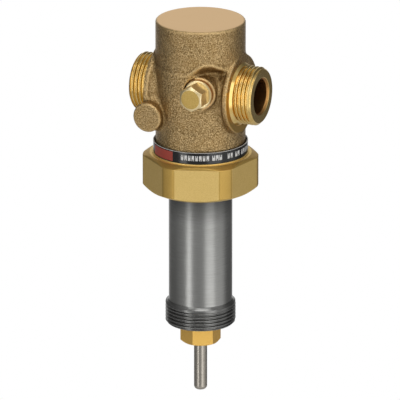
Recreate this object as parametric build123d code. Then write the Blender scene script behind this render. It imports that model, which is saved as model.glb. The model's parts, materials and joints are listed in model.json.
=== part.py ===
"""Two-way control valve of nominal size 20 with an extended neck, in millimetres.

The pipe's axis is X and the stem's axis is Z, and they cross at the origin. The stem leaves the neck at
the bottom, as in the photograph. A spring holds the valve open, and an actuator on the lower collar
pushes the stem up to close it. Each function makes one separate piece, written to parts/ as its own STEP
file.
"""
import os
from math import cos, pi, radians, sin, sqrt

from build123d import *

os.makedirs("parts", exist_ok=True)

# Driving sizes: the rest is worked out from these and from the walls, steps and gaps named below.
PORT_THREAD_R = 16.62
PORT_BORE_R = 10.2
FACE_TO_FACE = 75.0
BODY_R = 25.4
BODY_TOP_Z = 40.5
NUT_TOP_Z = -36.5
NUT_BOTTOM_Z = -59.0
TUBE_R = 18.0
COLLAR_TOP_Z = -124.1
COLLAR_BOTTOM_Z = -138.5
GLAND_ACROSS_FLATS = 20.0
GLAND_BOTTOM_Z = -150.4
STEM_R = 3.75
STEM_TIP_Z = -179.5
STROKE = 6.0
SEAT_BORE_R = 7.0

# Fits, edge breaks and how far a cutting shape runs past a face.
THREAD_GAP = 0.03
RUNNING_GAP = 0.03
SEAL_GAP = RUNNING_GAP / 3
PRESS_GAP = 0.01
WIDE_GAP = 0.15
EDGE = 0.5
FINE_EDGE = 0.3
OVERRUN = 1.0
REACH = 40.0

# Ports.
PORT_FACE_X = FACE_TO_FACE / 2
PORT_CHAMFER = 1.47
MOUTH_CHAMFER = 0.6
PORT_THREAD_LENGTH = 12.0
COLLAR_DISC_FACE_X = PORT_FACE_X - PORT_THREAD_LENGTH
COLLAR_DISC_THICKNESS = 2.5
COLLAR_DISC_BACK_X = COLLAR_DISC_FACE_X - COLLAR_DISC_THICKNESS
COLLAR_DISC_STEP = 5.38
COLLAR_DISC_R = PORT_THREAD_R + COLLAR_DISC_STEP
COLLAR_DISC_EDGE = 0.6
THREAD_RELIEF_DEPTH = 0.52
THREAD_RELIEF_R = PORT_THREAD_R - THREAD_RELIEF_DEPTH
THREAD_RELIEF_WIDTH = 1.6
PORT_NECK_STEP = 1.38
PORT_NECK_R = PORT_THREAD_R + PORT_NECK_STEP
PORT_NECK_TAPER = 1.5
PORT_ROOT_LENGTH = 3.0
PORT_ROOT_RISE = 1.2

# Barrel of the casting.
BELLY_STEP = 0.8
BELLY_R = BODY_R + BELLY_STEP
BELLY_TOP_Z = 14.5
BELLY_BOTTOM_Z = -16.0
BELLY_ROUND = 0.7
SCOOP_TOP_Z = 20.5
SCOOP_BOTTOM_Z = -19.0
RIGHT_SCOOP_X = 13.5
LEFT_SCOOP_X = 18.5
RIM_ROUND = 1.0
SPIGOT_STEP = 0.4
SPIGOT_R = BODY_R - SPIGOT_STEP
SPIGOT_LENGTH_IN_NUT = 13.5
SPIGOT_BOTTOM_Z = NUT_TOP_Z - SPIGOT_LENGTH_IN_NUT
SPIGOT_WALL = 5.5

# Seat and balance bore, which set the inner passages.
SEAT_THREAD_R = SEAT_BORE_R + 2.0
SEAT_FLANGE_R = SEAT_THREAD_R + 1.3
PISTON_R = SEAT_BORE_R + 1.0
BUSH_R = PISTON_R + 1.5

# Inner passages of the casting.
WALL = 3.5
ROOF_THICKNESS = 6.0
ROOF_Z = BODY_TOP_Z - ROOF_THICKNESS
ROOF_WALL = 4.0
LOWER_CAVITY_R = SPIGOT_R - SPIGOT_WALL
UPPER_CAVITY_R = BODY_R - ROOF_WALL
UPPER_CAVITY_ROUND = 2.0
CENTRE_PASSAGE_R = SEAT_FLANGE_R + 0.3
CENTRE_WALL_R = CENTRE_PASSAGE_R + 3.0
PASSAGE_WALL = 6.4
PASSAGE_R = BODY_R - PASSAGE_WALL
PORT_CHAMBER_R = PORT_NECK_R - WALL
PORT_CHAMBER_X = PORT_NECK_R + 2.0
SEAT_WALL_HALF = 4.0
RIGHT_FLOOR_Z = -PORT_BORE_R - 0.3
LOWER_CAVITY_TOP_Z = RIGHT_FLOOR_Z - WALL
UPPER_CAVITY_BOTTOM_Z = SCOOP_TOP_Z + WALL
SIDE_GAP = 2.0
RIGHT_PASSAGE_X = RIGHT_SCOOP_X - WALL
ROOF_BOSS_R = BUSH_R + 2.5
BUSH_TOP_Z = ROOF_Z + 1.5

# Bosses, both parallel to -Y.
TEST_X = 10.2
TEST_Z = 5.1
TEST_BOSS_R = 9.4
TEST_SPOT_WALL = 0.6
TEST_SPOT_SET_BACK = 1.4
TEST_FACE_Y = -(BODY_R - TEST_SPOT_SET_BACK)
TEST_ROOT_Y = TEST_FACE_Y + 16.0
TEST_SPOT_LENGTH = 6.0
TEST_THREAD_R = 4.86
TEST_THREAD_END_Y = TEST_FACE_Y + 7.8
TEST_HOLE_R = 2.2
TEST_HOLE_END_Y = TEST_FACE_Y + 12.0
BLIND_X = -20.7
BLIND_Z = -12.1
BLIND_R = 8.47
BLIND_ROUND = 1.0
BLIND_STAND_OFF = 2.6
BLIND_FACE_Y = -(BODY_R + BLIND_STAND_OFF)
BLIND_ROOT_Y = BLIND_FACE_Y + 18.0
TURNING_CLEAR_R = COLLAR_DISC_R - 1.5


def rod(radius, low_z, high_z):
    """Round bar on the stem's axis between two heights."""
    centre = (0, 0, (low_z + high_z) / 2)
    return Pos(*centre) * Cylinder(radius, high_z - low_z)


def pipe_rod(radius, low_x, high_x):
    """Round bar on the pipe's axis between two places."""
    centre = ((low_x + high_x) / 2, 0, 0)
    return Pos(*centre) * Rot(0, 90, 0) * Cylinder(radius, high_x - low_x)


def front_rod(radius, x, z, low_y, high_y):
    """Round bar parallel to Y at x and z."""
    centre = (x, (low_y + high_y) / 2, z)
    return Pos(*centre) * Rot(90, 0, 0) * Cylinder(radius, high_y - low_y)


def block(low, high):
    """Box between two opposite corners."""
    size = [b - a for a, b in zip(low, high)]
    centre = [(a + b) / 2 for a, b in zip(low, high)]
    return Pos(*centre) * Box(*size)


def turned(profile):
    """Solid turned about the stem's axis from a closed outline of (radius, height) points."""
    outline = Polyline(*[(r, 0, z) for r, z in profile], close=True)
    return revolve(make_face(outline), Axis.Z)


def port_turned(profile, side):
    """Solid turned about the pipe's axis from (place along the pipe, radius) points, on one side."""
    outline = Polyline(*[(side * x, 0, r) for x, r in profile], close=True)
    return revolve(make_face(outline), Axis.X)


def hexagon(across_flats, corner_r, low_z, high_z, facet_azimuth):
    """Hexagon bar on the stem's axis whose corners are cut back to corner_r."""
    half_flat = across_flats / 2
    cut = sqrt(corner_r ** 2 - half_flat ** 2)
    points = []
    for side in range(6):
        turn = radians(facet_azimuth + 60 * side)
        for along in (-cut, cut):
            x = half_flat * cos(turn) - along * sin(turn)
            y = half_flat * sin(turn) + along * cos(turn)
            points.append((x, y, low_z))
    face = make_face(Polyline(*points, close=True))
    return extrude(face, high_z - low_z, dir=(0, 0, 1))


def port_end(side):
    """Threaded port with its chamfers, relief and cast collar, solid inside."""
    chamfer_x = PORT_FACE_X - PORT_CHAMFER
    relief_x = COLLAR_DISC_FACE_X + THREAD_RELIEF_WIDTH
    edge = COLLAR_DISC_EDGE
    return port_turned([
        (0, 0),
        (0, PORT_NECK_R - PORT_NECK_TAPER),
        (COLLAR_DISC_BACK_X - PORT_ROOT_LENGTH, PORT_NECK_R),
        (COLLAR_DISC_BACK_X - PORT_ROOT_LENGTH / 3, PORT_NECK_R + PORT_ROOT_RISE),
        (COLLAR_DISC_BACK_X, COLLAR_DISC_R - edge),
        (COLLAR_DISC_BACK_X + edge, COLLAR_DISC_R),
        (COLLAR_DISC_FACE_X - edge / 2, COLLAR_DISC_R),
        (COLLAR_DISC_FACE_X, COLLAR_DISC_R - edge / 2),
        (COLLAR_DISC_FACE_X, THREAD_RELIEF_R),
        (relief_x, THREAD_RELIEF_R),
        (relief_x + EDGE, PORT_THREAD_R),
        (chamfer_x, PORT_THREAD_R),
        (PORT_FACE_X, PORT_THREAD_R - PORT_CHAMFER),
        (PORT_FACE_X, 0),
    ], side)


def port_bore(side):
    """Flow bore of one port with its mouth chamfer."""
    return port_turned([
        (PORT_NECK_R, 0),
        (PORT_NECK_R, PORT_BORE_R),
        (PORT_FACE_X - MOUTH_CHAMFER, PORT_BORE_R),
        (PORT_FACE_X + OVERRUN, PORT_BORE_R + MOUTH_CHAMFER + OVERRUN),
        (PORT_FACE_X + OVERRUN, 0),
    ], side)


def casting_core():
    """Upright barrel with its belly, scooped out beside the ports."""
    core = rod(BODY_R, NUT_TOP_Z, BODY_TOP_Z)
    core = fillet(core.edges().group_by(Axis.Z)[-1], RIM_ROUND)
    belly = rod(BELLY_R, BELLY_BOTTOM_Z, BELLY_TOP_Z)
    belly = fillet(belly.edges().filter_by(GeomType.CIRCLE), BELLY_ROUND)
    core = core + belly
    right = block((RIGHT_SCOOP_X, -REACH, SCOOP_BOTTOM_Z), (REACH, REACH, SCOOP_TOP_Z))
    left = block((-REACH, -REACH, SCOOP_BOTTOM_Z), (-LEFT_SCOOP_X, REACH, SCOOP_TOP_Z))
    return core - right - left


def blind_boss():
    """Undrilled cast boss, cut back where a coupling nut turns on the port."""
    boss = front_rod(BLIND_R, BLIND_X, BLIND_Z, BLIND_FACE_Y, BLIND_ROOT_Y)
    boss = fillet(boss.edges().group_by(Axis.Y)[0], BLIND_ROUND)
    clearance = pipe_rod(TURNING_CLEAR_R, -PORT_FACE_X, -COLLAR_DISC_FACE_X)
    return boss - clearance


def passages():
    """Hollow of the casting: two chambers parted by the S-shaped wall that carries the seat."""
    right_half = block((SIDE_GAP, -REACH, RIGHT_FLOOR_Z), (REACH, REACH, REACH))
    left_half = block((-REACH, -REACH, -REACH), (-SIDE_GAP, REACH, REACH))
    right_slot = block((SIDE_GAP, -REACH, RIGHT_FLOOR_Z), (RIGHT_PASSAGE_X, REACH, ROOF_Z - OVERRUN))
    chamber = pipe_rod(PORT_CHAMBER_R, -PORT_CHAMBER_X, PORT_CHAMBER_X)
    lower_post = rod(CENTRE_WALL_R, -REACH, SEAT_WALL_HALF)
    upper_post = rod(CENTRE_WALL_R, -SEAT_WALL_HALF, REACH)
    upper = rod(UPPER_CAVITY_R, UPPER_CAVITY_BOTTOM_Z, ROOF_Z)
    upper = fillet(upper.edges().filter_by(GeomType.CIRCLE), UPPER_CAVITY_ROUND)
    upper = upper + rod(CENTRE_PASSAGE_R, SEAT_WALL_HALF, UPPER_CAVITY_BOTTOM_Z + OVERRUN)
    right = (chamber & right_half) + (rod(PASSAGE_R, -REACH, REACH) & right_slot)
    upper = upper + (right - lower_post)
    lower = rod(LOWER_CAVITY_R, SPIGOT_BOTTOM_Z - OVERRUN, LOWER_CAVITY_TOP_Z)
    lower = lower + rod(CENTRE_PASSAGE_R, LOWER_CAVITY_TOP_Z - OVERRUN, -SEAT_WALL_HALF)
    lower = lower + ((chamber & left_half) - upper_post)
    return upper + lower


def valve_body():
    """Bronze casting with its machined ports, faces and holes."""
    body = casting_core() + port_end(1) + port_end(-1)
    body = body + front_rod(TEST_BOSS_R, TEST_X, TEST_Z, TEST_FACE_Y, TEST_ROOT_Y)
    body = body + blind_boss()
    body = body + rod(SPIGOT_R, SPIGOT_BOTTOM_Z, NUT_TOP_Z)
    spot_r = TEST_BOSS_R - TEST_SPOT_WALL
    body = body - front_rod(spot_r, TEST_X, TEST_Z, TEST_FACE_Y - TEST_SPOT_LENGTH, TEST_FACE_Y)
    hollow = passages() - rod(ROOF_BOSS_R, UPPER_CAVITY_BOTTOM_Z, ROOF_Z + OVERRUN)
    body = body - hollow
    body = body - port_bore(1) - port_bore(-1)
    body = body - rod(SEAT_THREAD_R, -SEAT_WALL_HALF - OVERRUN, SEAT_WALL_HALF + OVERRUN)
    body = body - rod(BUSH_R, UPPER_CAVITY_BOTTOM_Z - OVERRUN, BUSH_TOP_Z)
    body = body - front_rod(TEST_THREAD_R, TEST_X, TEST_Z, TEST_FACE_Y - OVERRUN, TEST_THREAD_END_Y)
    return body - front_rod(TEST_HOLE_R, TEST_X, TEST_Z, TEST_FACE_Y, TEST_HOLE_END_Y)


# Seat, plug and balance piston.
SEAT_RING_BOTTOM_Z = -6.5
OPEN_PLUG_TOP_Z = SEAT_RING_BOTTOM_Z - STROKE
DISC_R = SEAT_BORE_R + 1.3
DISC_HEIGHT = 5.0
HUB_R = STEM_R + 2.45
HUB_HEIGHT = 8.0
WAIST_R = SEAT_BORE_R - 3.0
PISTON_LOW_Z = ROOF_Z - 9.5
PISTON_HIGH_Z = PISTON_LOW_Z + 4.5
PISTON_SHOULDER = 3.0
GROOVE_DEPTH = 1.2
GROOVE_LOW_Z = PISTON_LOW_Z + 1.2
GROOVE_HIGH_Z = GROOVE_LOW_Z + 1.8
SEAL_GROOVE_LOW_R = SEAT_BORE_R - 0.4
SEAL_GROOVE_HIGH_R = DISC_R - EDGE
CONTOUR_STEPS = ((0.0, 2.0), (0.6, 5.0), (1.6, 8.0))
CONTOUR_HEIGHT = 10.5
BALANCE_BORE_R = 1.6
BALANCE_OUTLET_R = 1.0
BALANCE_FLOOR = 1.0
PIN_R = 1.2
PIN_INSET = 0.2
PIN_Z = OPEN_PLUG_TOP_Z - DISC_HEIGHT - HUB_HEIGHT / 2 - 1.0
STEM_TOP_Z = OPEN_PLUG_TOP_Z - DISC_HEIGHT - 1.5
STEM_HEAD_ROOM = 0.2


def seat_ring():
    """Seat screwed into the wall from below, with a chamfered edge for the disc."""
    outer = SEAT_THREAD_R - THREAD_GAP
    return turned([
        (SEAT_BORE_R, SEAT_WALL_HALF),
        (outer - EDGE, SEAT_WALL_HALF),
        (outer, SEAT_WALL_HALF - EDGE),
        (outer, -SEAT_WALL_HALF),
        (SEAT_FLANGE_R, -SEAT_WALL_HALF),
        (SEAT_FLANGE_R, SEAT_RING_BOTTOM_Z),
        (SEAT_BORE_R + EDGE, SEAT_RING_BOTTOM_Z),
        (SEAT_BORE_R, SEAT_RING_BOTTOM_Z + EDGE),
    ])


def balance_bush():
    """Liner of the blind bore in the roof boss."""
    inner = PISTON_R + RUNNING_GAP
    return turned([
        (inner, BUSH_TOP_Z),
        (BUSH_R, BUSH_TOP_Z),
        (BUSH_R, UPPER_CAVITY_BOTTOM_Z),
        (inner + EDGE, UPPER_CAVITY_BOTTOM_Z),
        (inner, UPPER_CAVITY_BOTTOM_Z + EDGE),
    ])


def valve_plug():
    """Disc, flow contour, waist and balance piston turned as one piece, with a drilled balance hole."""
    top = OPEN_PLUG_TOP_Z
    disc_bottom = top - DISC_HEIGHT
    hub_bottom = disc_bottom - HUB_HEIGHT
    seal_bottom = top - GROOVE_DEPTH
    contour = [(SEAL_GROOVE_LOW_R - drop, top + rise) for drop, rise in CONTOUR_STEPS]
    plug = turned([
        (0, hub_bottom),
        (HUB_R - EDGE, hub_bottom),
        (HUB_R, hub_bottom + EDGE),
        (HUB_R, disc_bottom),
        (DISC_R - EDGE, disc_bottom),
        (DISC_R, disc_bottom + EDGE),
        (DISC_R, top - FINE_EDGE),
        (DISC_R - FINE_EDGE, top),
        (SEAL_GROOVE_HIGH_R, top),
        (SEAL_GROOVE_HIGH_R, seal_bottom),
        (SEAL_GROOVE_LOW_R, seal_bottom),
        *contour,
        (WAIST_R, top + CONTOUR_HEIGHT),
        (WAIST_R, PISTON_LOW_Z - PISTON_SHOULDER),
        (PISTON_R - EDGE, PISTON_LOW_Z),
        (PISTON_R, PISTON_LOW_Z + EDGE),
        (PISTON_R, GROOVE_LOW_Z),
        (PISTON_R - GROOVE_DEPTH, GROOVE_LOW_Z),
        (PISTON_R - GROOVE_DEPTH, GROOVE_HIGH_Z),
        (PISTON_R, GROOVE_HIGH_Z),
        (PISTON_R, PISTON_HIGH_Z - EDGE),
        (PISTON_R - EDGE, PISTON_HIGH_Z),
        (0, PISTON_HIGH_Z),
    ])
    bore_end = disc_bottom + BALANCE_FLOOR
    plug = plug - rod(BALANCE_BORE_R, bore_end, PISTON_HIGH_Z + OVERRUN)
    plug = plug - cross_bar(BALANCE_OUTLET_R, bore_end + BALANCE_OUTLET_R, DISC_R + OVERRUN)
    plug = plug - rod(STEM_R + PRESS_GAP, hub_bottom - OVERRUN, STEM_TOP_Z + STEM_HEAD_ROOM)
    return plug - cross_bar(PIN_R, PIN_Z, HUB_R + OVERRUN)


def cross_bar(radius, z, half_length):
    """Round bar parallel to X at a height, centred on the stem's axis."""
    return Pos(0, 0, z) * Rot(0, 90, 0) * Cylinder(radius, 2 * half_length)


def plug_seal():
    """Soft ring in the groove of the disc's face."""
    bottom = OPEN_PLUG_TOP_Z - GROOVE_DEPTH
    return turned([
        (SEAL_GROOVE_LOW_R, bottom),
        (SEAL_GROOVE_HIGH_R, bottom),
        (SEAL_GROOVE_HIGH_R, OPEN_PLUG_TOP_Z),
        (SEAL_GROOVE_LOW_R, OPEN_PLUG_TOP_Z),
    ])


def piston_ring():
    """Ring in the balance piston's groove."""
    return turned([
        (PISTON_R - GROOVE_DEPTH, GROOVE_LOW_Z),
        (PISTON_R + SEAL_GAP, GROOVE_LOW_Z),
        (PISTON_R + SEAL_GAP, GROOVE_HIGH_Z),
        (PISTON_R - GROOVE_DEPTH, GROOVE_HIGH_Z),
    ])


def plug_pin():
    """Cross pin through the plug's hub and the stem."""
    return cross_bar(PIN_R, PIN_Z, HUB_R - PIN_INSET)


# Neck: flange, tube and threaded collar.
GASKET_THICKNESS = 1.2
FLANGE_CLEARANCE = 1.4
FLANGE_R = SPIGOT_R - FLANGE_CLEARANCE
FLANGE_EDGE = 0.4
FLANGE_TOP_Z = SPIGOT_BOTTOM_Z - GASKET_THICKNESS
NUT_LIP = 3.8
FLANGE_BOTTOM_Z = NUT_BOTTOM_Z + NUT_LIP
TUBE_WALL = 3.0
NECK_BORE_R = TUBE_R - TUBE_WALL
NECK_FLOOR = 6.1
NECK_BORE_BOTTOM_Z = COLLAR_TOP_Z + NECK_FLOOR
LOWER_NECK_BORE_R = NECK_BORE_R - 3.5
SPRING_PLATE_TOP_Z = -94.0
SPRING_PLATE_THICKNESS = 2.5
SPRING_PLATE_R = NECK_BORE_R - 1.8
STOP_GAP = 0.1
GUIDE_PLATE_R = TUBE_R - 1.0
GUIDE_PLATE_THICKNESS = 2.8
GUIDE_HUB_R = STEM_R + 2.75
GUIDE_HUB_LENGTH = 8.0
GUIDE_HOLE_COUNT = 4
GUIDE_HOLE_R = 1.5
GUIDE_HOLE_CIRCLE_R = GUIDE_HUB_R + 3.05
COLLAR_STEP = 2.0
COLLAR_THREAD_R = TUBE_R + COLLAR_STEP
COLLAR_TOP_CHAMFER = 2.6
COLLAR_BOTTOM_CHAMFER = 1.2
BOX_THREAD_R = GLAND_ACROSS_FLATS / 2 - 1.5
BOX_DEPTH = 9.5
BOX_THREAD_TOP_Z = COLLAR_BOTTOM_Z + BOX_DEPTH
PACKING_R = STEM_R + 3.0
PACKING_TOP_Z = NECK_BORE_BOTTOM_Z - 3.5
PACKING_COUNT = 3
PACKING_HEIGHT = 1.7
PACKING_WASHER_HEIGHT = 1.0
STEM_HOLE_R = STEM_R + 0.35


def body_gasket():
    """Flat ring between the body's spigot and the neck's flange."""
    return turned([
        (LOWER_CAVITY_R, FLANGE_TOP_Z),
        (FLANGE_R, FLANGE_TOP_Z),
        (FLANGE_R, SPIGOT_BOTTOM_Z),
        (LOWER_CAVITY_R, SPIGOT_BOTTOM_Z),
    ])


def neck_tube():
    """Flange, long tube and threaded collar turned from one bar, with a shoulder that stops the stem."""
    plate_z = FLANGE_TOP_Z - GUIDE_PLATE_THICKNESS
    stop_z = SPRING_PLATE_TOP_Z - SPRING_PLATE_THICKNESS - STOP_GAP
    return turned([
        (FLANGE_R - FLANGE_EDGE, FLANGE_TOP_Z),
        (FLANGE_R, FLANGE_TOP_Z - FLANGE_EDGE),
        (FLANGE_R, FLANGE_BOTTOM_Z),
        (TUBE_R, FLANGE_BOTTOM_Z),
        (TUBE_R, COLLAR_TOP_Z),
        (COLLAR_THREAD_R, COLLAR_TOP_Z - COLLAR_TOP_CHAMFER),
        (COLLAR_THREAD_R, COLLAR_BOTTOM_Z + COLLAR_BOTTOM_CHAMFER),
        (COLLAR_THREAD_R - COLLAR_BOTTOM_CHAMFER, COLLAR_BOTTOM_Z),
        (BOX_THREAD_R, COLLAR_BOTTOM_Z),
        (BOX_THREAD_R, BOX_THREAD_TOP_Z),
        (PACKING_R, BOX_THREAD_TOP_Z),
        (PACKING_R, PACKING_TOP_Z),
        (STEM_HOLE_R, PACKING_TOP_Z),
        (STEM_HOLE_R, NECK_BORE_BOTTOM_Z),
        (LOWER_NECK_BORE_R, NECK_BORE_BOTTOM_Z),
        (LOWER_NECK_BORE_R, stop_z),
        (NECK_BORE_R, stop_z),
        (NECK_BORE_R, plate_z),
        (GUIDE_PLATE_R, plate_z),
        (GUIDE_PLATE_R, FLANGE_TOP_Z),
    ])


def guide_plate():
    """Plate with the upper stem guide and its pressure holes, pressed into the neck's flange."""
    plate_z = FLANGE_TOP_Z - GUIDE_PLATE_THICKNESS
    hub_z = plate_z - GUIDE_HUB_LENGTH
    bore = STEM_R + RUNNING_GAP
    plate = turned([
        (bore + EDGE, FLANGE_TOP_Z),
        (GUIDE_PLATE_R, FLANGE_TOP_Z),
        (GUIDE_PLATE_R, plate_z),
        (GUIDE_HUB_R, plate_z),
        (GUIDE_HUB_R, hub_z),
        (bore + EDGE, hub_z),
        (bore, hub_z + EDGE),
        (bore, FLANGE_TOP_Z - EDGE),
    ])
    hole = Cylinder(GUIDE_HOLE_R, 2 * GUIDE_PLATE_THICKNESS)
    middle = Pos(0, 0, plate_z + GUIDE_PLATE_THICKNESS / 2)
    for place in PolarLocations(GUIDE_HOLE_CIRCLE_R, GUIDE_HOLE_COUNT, 45):
        plate = plate - middle * place * hole
    return plate


# Union nut. Its hole passes over the neck's collar, and its lip holds the neck's flange.
NUT_WALL = 5.0
NUT_HALF_FLAT = SPIGOT_R + NUT_WALL
NUT_CORNER_CUT = 1.94
NUT_CORNER_R = NUT_HALF_FLAT / cos(pi / 6) - NUT_CORNER_CUT
NUT_COLLAR_WALL = 2.4
NUT_COLLAR_R = SPIGOT_R + NUT_COLLAR_WALL
NUT_COLLAR_HEIGHT = 0.8
NUT_TOP_CUT = 1.2
NUT_FACE_R = NUT_HALF_FLAT - NUT_TOP_CUT
NUT_BOTTOM_CUT = 0.5
NUT_BOTTOM_R = NUT_HALF_FLAT - NUT_BOTTOM_CUT
NUT_BOTTOM_SLOPE = 1.2
NUT_FACET_AZIMUTH = -70.0
NUT_HOLE_R = COLLAR_THREAD_R + 0.2
NUT_THREAD_CHAMFER = 0.6
NUT_THREAD_RUN_OUT = 0.4
NUT_THREAD_BOTTOM_Z = SPIGOT_BOTTOM_Z - OVERRUN


def union_nut():
    """Large hexagon nut with turned ends, a turned ring on top and an inner lip under the flange."""
    bar = hexagon(2 * NUT_HALF_FLAT, NUT_CORNER_R, NUT_BOTTOM_Z, NUT_TOP_Z, NUT_FACET_AZIMUTH)
    face_z = NUT_TOP_Z - NUT_COLLAR_HEIGHT
    outside = NUT_CORNER_R + OVERRUN
    top_drop = outside - NUT_FACE_R
    bottom_rise = NUT_BOTTOM_SLOPE * (outside - NUT_BOTTOM_R)
    thread = SPIGOT_R + THREAD_GAP
    envelope = turned([
        (thread + NUT_THREAD_CHAMFER, NUT_TOP_Z),
        (NUT_COLLAR_R - FINE_EDGE, NUT_TOP_Z),
        (NUT_COLLAR_R, NUT_TOP_Z - FINE_EDGE),
        (NUT_COLLAR_R, face_z),
        (NUT_FACE_R, face_z),
        (outside, face_z - top_drop),
        (outside, NUT_BOTTOM_Z + bottom_rise),
        (NUT_BOTTOM_R, NUT_BOTTOM_Z),
        (NUT_HOLE_R, NUT_BOTTOM_Z),
        (NUT_HOLE_R, FLANGE_BOTTOM_Z),
        (thread + NUT_THREAD_RUN_OUT, FLANGE_BOTTOM_Z),
        (thread + NUT_THREAD_RUN_OUT, NUT_THREAD_BOTTOM_Z),
        (thread, NUT_THREAD_BOTTOM_Z),
        (thread, NUT_TOP_Z - NUT_THREAD_CHAMFER),
    ])
    return bar & envelope


# Label band.
BAND_LIFT = 0.1
BAND_HEIGHT = 6.5
BAND_BOTTOM_Z = NUT_TOP_Z + BAND_LIFT
BAND_TOP_Z = BAND_BOTTOM_Z + BAND_HEIGHT
BAND_STAND_OFF = 1.4
BAND_R = BODY_R + BAND_STAND_OFF
BAND_SHEET = 0.6
BAND_FOOT = 1.0


def label_band():
    """Plastic ring that stands off the body on an inner foot."""
    inner = BAND_R - BAND_SHEET
    return turned([
        (BODY_R, BAND_BOTTOM_Z),
        (BAND_R, BAND_BOTTOM_Z),
        (BAND_R, BAND_TOP_Z),
        (inner, BAND_TOP_Z),
        (inner, BAND_BOTTOM_Z + BAND_FOOT),
        (BODY_R, BAND_BOTTOM_Z + BAND_FOOT),
    ])


# Test plug.
WASHER_THICKNESS = 1.0
PLUG_FLANGE_R = TEST_BOSS_R - 1.2
WASHER_R = PLUG_FLANGE_R - 0.8
PLUG_FLANGE = 1.6
PLUG_ACROSS_FLATS = 13.0
PLUG_HEX_LENGTH = 10.2
PLUG_END_CHAMFER = 1.5
PLUG_END_CUT = 0.9
PLUG_THREAD_LENGTH = 7.0
PLUG_THREAD_CHAMFER = 0.6
CORNER_BREAK = 0.01


def test_plug_washer():
    """Soft sealing washer on the spot face."""
    ring = front_rod(WASHER_R, TEST_X, TEST_Z, TEST_FACE_Y - WASHER_THICKNESS, TEST_FACE_Y)
    hole_r = TEST_THREAD_R + WIDE_GAP
    low_y = TEST_FACE_Y - WASHER_THICKNESS - OVERRUN
    return ring - front_rod(hole_r, TEST_X, TEST_Z, low_y, TEST_FACE_Y + OVERRUN)


def test_plug():
    """Hexagon screw plug: turned flange, hexagon with a turned end, and a short threaded shank."""
    hex_y = TEST_FACE_Y - WASHER_THICKNESS - PLUG_FLANGE
    half_flat = PLUG_ACROSS_FLATS / 2
    corner = half_flat / cos(pi / 6)
    bar = hexagon(PLUG_ACROSS_FLATS, corner - CORNER_BREAK, 0, PLUG_HEX_LENGTH, 0)
    turned_end = turned([
        (0, 0),
        (corner + EDGE, 0),
        (corner + EDGE, PLUG_HEX_LENGTH - PLUG_END_CHAMFER),
        (half_flat - PLUG_END_CUT, PLUG_HEX_LENGTH),
        (0, PLUG_HEX_LENGTH),
    ])
    shank = rod(TEST_THREAD_R - THREAD_GAP, -PLUG_THREAD_LENGTH - PLUG_FLANGE, 0)
    shank = chamfer(shank.edges().group_by(Axis.Z)[0], PLUG_THREAD_CHAMFER)
    flange = rod(PLUG_FLANGE_R, -PLUG_FLANGE, 0)
    flange = chamfer(flange.edges().group_by(Axis.Z)[-1], EDGE)
    plug = (bar & turned_end) + flange + shank
    return Pos(TEST_X, hex_y, TEST_Z) * Rot(90, 0, 0) * plug


# Gland and packing.
GLAND_THREAD_LENGTH = 7.5
GLAND_NOSE_R = PACKING_R - WIDE_GAP
GLAND_CHAMFER = 1.2
GLAND_END_CUT = 0.3
GLAND_FACET_AZIMUTH = -58.8
WIPER_R = STEM_R + 1.85
WIPER_HEIGHT = 2.2
WIPER_SET_BACK = 0.3


def gland_nut():
    """Hexagon gland with a threaded spigot, a nose on the packing and a mouth for the wiper."""
    half_flat = GLAND_ACROSS_FLATS / 2
    corner = half_flat / cos(pi / 6)
    facets = (GLAND_BOTTOM_Z, COLLAR_BOTTOM_Z, GLAND_FACET_AZIMUTH)
    bar = hexagon(GLAND_ACROSS_FLATS, corner - CORNER_BREAK, *facets)
    turned_end = turned([
        (0, COLLAR_BOTTOM_Z),
        (corner + EDGE, COLLAR_BOTTOM_Z),
        (corner + EDGE, GLAND_BOTTOM_Z + GLAND_CHAMFER),
        (half_flat - GLAND_END_CUT, GLAND_BOTTOM_Z),
        (0, GLAND_BOTTOM_Z),
    ])
    thread_top = COLLAR_BOTTOM_Z + GLAND_THREAD_LENGTH
    spigot = rod(BOX_THREAD_R - THREAD_GAP, COLLAR_BOTTOM_Z, thread_top)
    gland = (bar & turned_end) + spigot + rod(GLAND_NOSE_R, thread_top, gland_nose_z())
    gland = gland - rod(STEM_R + WIDE_GAP, GLAND_BOTTOM_Z - OVERRUN, gland_nose_z() + OVERRUN)
    return gland - rod(WIPER_R, GLAND_BOTTOM_Z - OVERRUN, GLAND_BOTTOM_Z + WIPER_HEIGHT)


def gland_nose_z():
    """Height of the gland's nose, where it meets the packing washer."""
    return PACKING_TOP_Z - PACKING_COUNT * PACKING_HEIGHT - PACKING_WASHER_HEIGHT


def packing_ring(index):
    """One soft packing ring; index 0 is the topmost."""
    high = PACKING_TOP_Z - index * PACKING_HEIGHT
    low = high - PACKING_HEIGHT
    return rod(PACKING_R, low, high) - rod(STEM_R + SEAL_GAP, low - OVERRUN, high + OVERRUN)


def packing_washer():
    """Steel washer between the gland's nose and the packing."""
    low = gland_nose_z()
    high = low + PACKING_WASHER_HEIGHT
    return rod(PACKING_R, low, high) - rod(STEM_R + WIDE_GAP, low - OVERRUN, high + OVERRUN)


def wiper_ring():
    """Ring that keeps dirt off the stem where it leaves the gland."""
    low = GLAND_BOTTOM_Z + WIPER_SET_BACK
    high = GLAND_BOTTOM_Z + WIPER_HEIGHT
    return rod(WIPER_R, low, high) - rod(STEM_R + SEAL_GAP, low - OVERRUN, high + OVERRUN)


# Stem and spring.
STEM_END_ROUND = 2.2
SPRING_R = NECK_BORE_R - 4.0
WIRE_R = 1.2
SPRING_TOP_Z = FLANGE_TOP_Z - GUIDE_PLATE_THICKNESS
SPRING_TURNS = 7
SPIGOT_RISE = 1.6
SPRING_SPIGOT_R = SPRING_R - WIRE_R - 0.8
CLIP_THICKNESS = 1.2
CLIP_R = STEM_R + 2.25
CLIP_GROOVE_R = STEM_R - 0.6
CLIP_GAP = 2.4


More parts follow.
